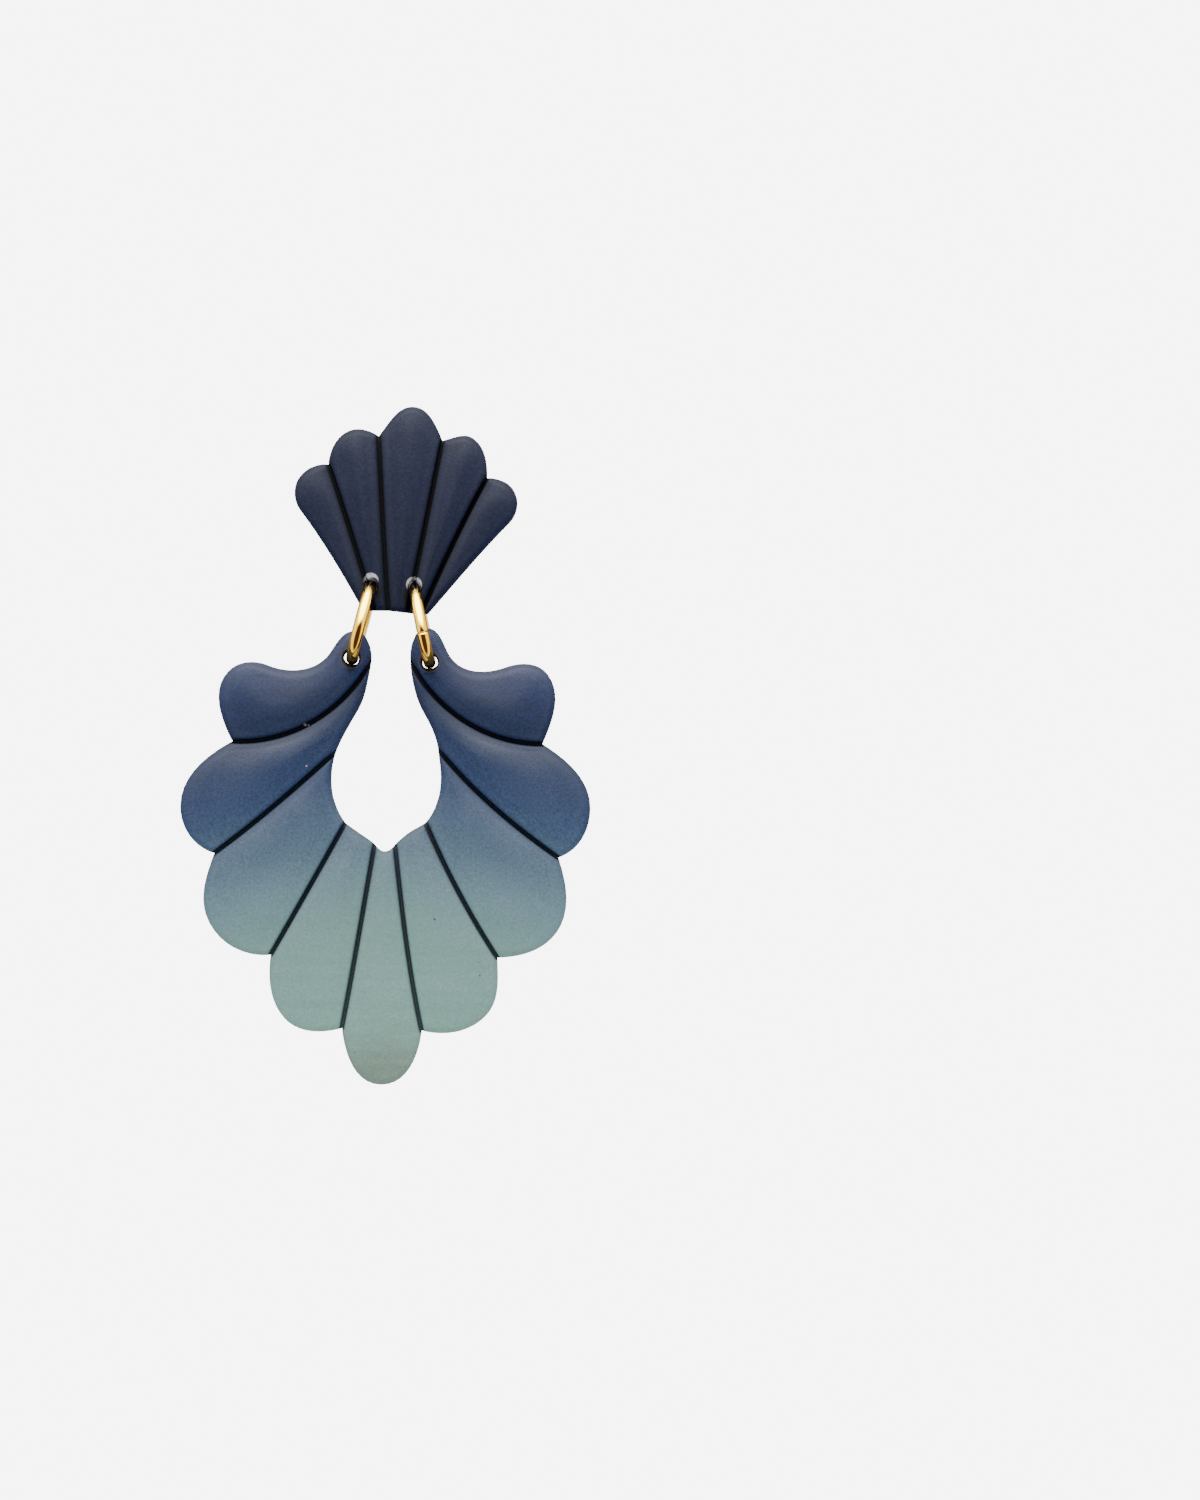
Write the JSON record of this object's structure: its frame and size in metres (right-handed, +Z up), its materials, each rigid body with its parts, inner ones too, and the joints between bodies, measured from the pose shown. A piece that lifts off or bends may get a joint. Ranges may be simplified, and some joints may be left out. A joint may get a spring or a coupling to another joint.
{
  "type": "polymer clay earring",
  "caption": "Drop earring in polymer clay: a ribbed fan stud and, on jump rings, a petal drop with a teardrop window.",
  "frame": {"origin": "on the axis of the ear post, where the post leaves its pad and enters the ear", "axes": "+Z up as worn, +X to the right seen from the front, +Y back into the ear along the post"},
  "size_m": [0.0363, 0.0168, 0.06],
  "materials": {
    "navy_clay": "matte baked polymer clay, dark navy",
    "ombre_clay": "matte baked polymer clay, navy above fading to grey-green below",
    "gold_wire": "polished gold plating over brass wire",
    "steel": "satin surgical steel"
  },
  "bodies": {
    "stud": {"fan": "navy_clay", "ear_post": "steel", "ring_left": "gold_wire", "ring_right": "gold_wire"},
    "drop": {"drop": "ombre_clay"}
  },
  "joints": [
    {"name": "drop_swing", "type": "hinge", "parent": "stud", "child": "drop", "pos_m": [-0.0033, -0.00185, -0.0107], "axis": [0.9984, 0, -0.0565], "range_deg": [-25, 25]}
  ]
}
